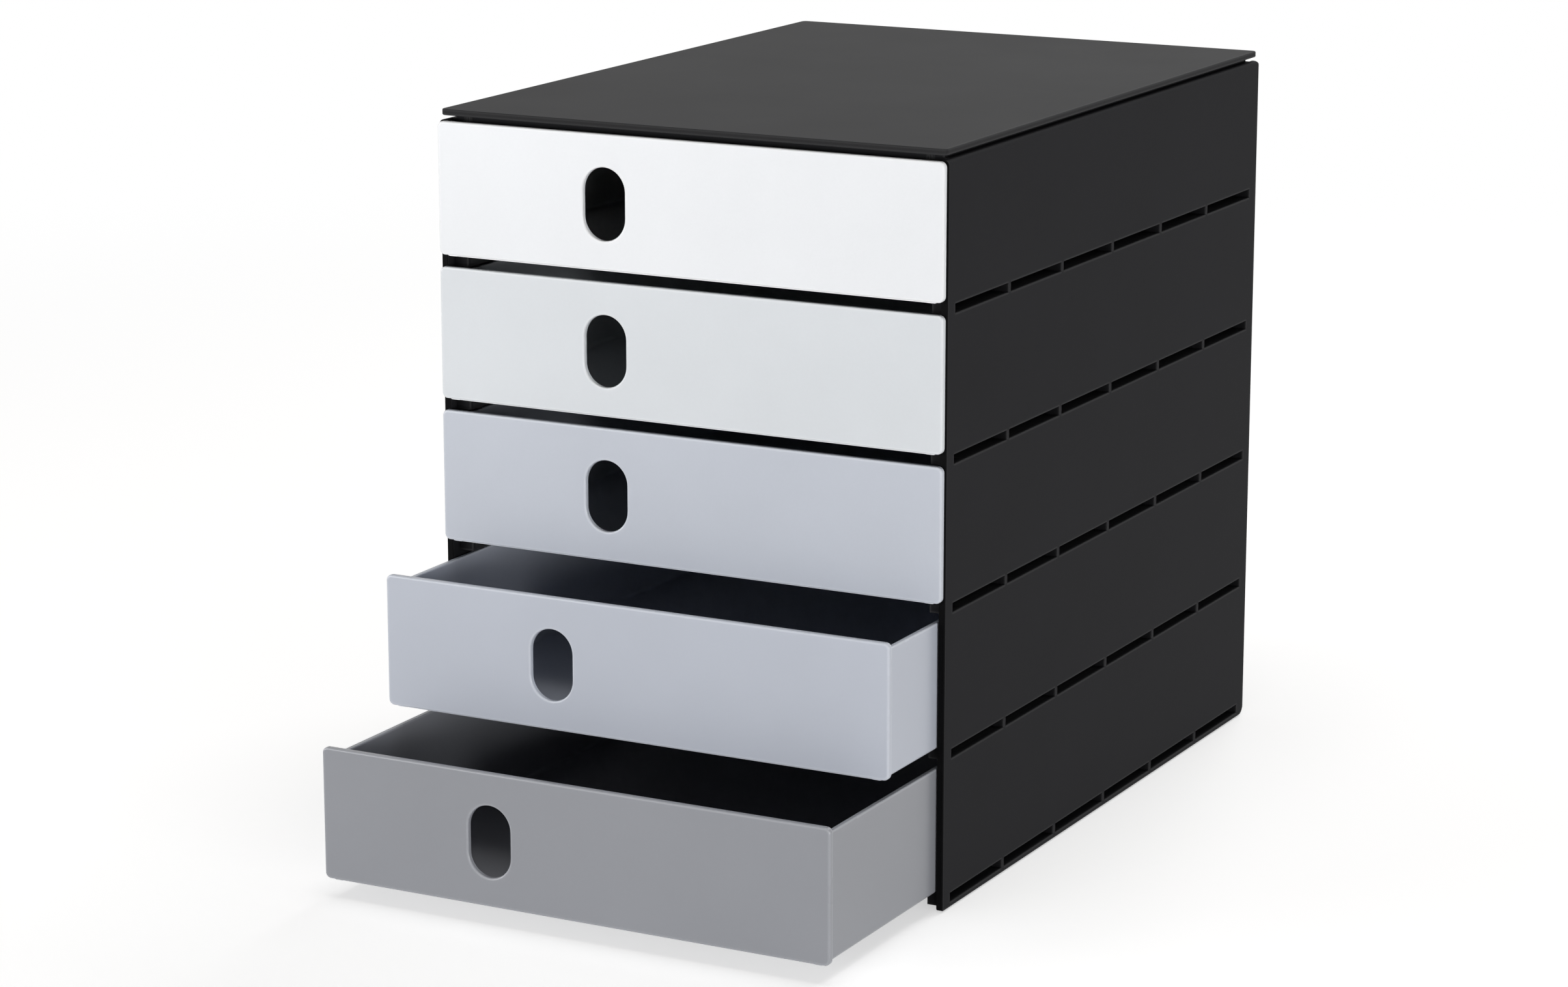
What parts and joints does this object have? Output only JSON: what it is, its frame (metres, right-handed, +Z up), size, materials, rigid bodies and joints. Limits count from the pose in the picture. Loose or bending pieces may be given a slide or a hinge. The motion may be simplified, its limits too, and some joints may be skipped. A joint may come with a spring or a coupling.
{
  "type": "desktop file drawer",
  "caption": "Desktop drawer box for A4 and C4 papers: shallow one-piece drawers with upright finger holes slide on hollow rails in a slim black housing with a raised top plate.",
  "frame": {"origin": "on the standing surface, in the middle of the box's width, halfway between the drawer front that stands out most in the stored pose and the rear edge of the side panels", "axes": "+X to the right of a person facing the drawer fronts, +Y from the fronts to the back, +Z up; drawers open towards -Y"},
  "size_m": [0.245, 0.4434, 0.3278],
  "materials": {
    "housing_plastic": "satin",
    "plate_plastic": "satin",
    "foot_rubber": "matte",
    "drawer_1_plastic": "satin",
    "drawer_2_plastic": "satin",
    "drawer_3_plastic": "satin",
    "drawer_4_plastic": "satin",
    "drawer_5_plastic": "satin"
  },
  "bodies": {
    "housing": {"side_panel_left": "housing_plastic", "side_panel_right": "housing_plastic", "top_plate": "plate_plastic", "top_front_rail": "housing_plastic", "top_rear_rail": "housing_plastic", "base_plate": "housing_plastic", "back_panel": "housing_plastic", "foot_front_left": "foot_rubber", "foot_front_right": "foot_rubber", "foot_rear_left": "foot_rubber", "foot_rear_right": "foot_rubber"},
    "drawer_1": {"drawer_1": "drawer_1_plastic"},
    "drawer_2": {"drawer_2": "drawer_2_plastic"},
    "drawer_3": {"drawer_3": "drawer_3_plastic"},
    "drawer_4": {"drawer_4": "drawer_4_plastic"},
    "drawer_5": {"drawer_5": "drawer_5_plastic"}
  },
  "joints": [
    {"name": "drawer_1_slide", "type": "slide", "parent": "housing", "child": "drawer_1", "axis": [0, -1, 0], "range_m": [0, 0.27]},
    {"name": "drawer_2_slide", "type": "slide", "parent": "housing", "child": "drawer_2", "axis": [0, -1, 0], "range_m": [0, 0.27]},
    {"name": "drawer_3_slide", "type": "slide", "parent": "housing", "child": "drawer_3", "axis": [0, -1, 0], "range_m": [0, 0.27]},
    {"name": "drawer_4_slide", "type": "slide", "parent": "housing", "child": "drawer_4", "axis": [0, -1, 0], "range_m": [-0.048, 0.222]},
    {"name": "drawer_5_slide", "type": "slide", "parent": "housing", "child": "drawer_5", "axis": [0, -1, 0], "range_m": [-0.1005, 0.1695]}
  ]
}
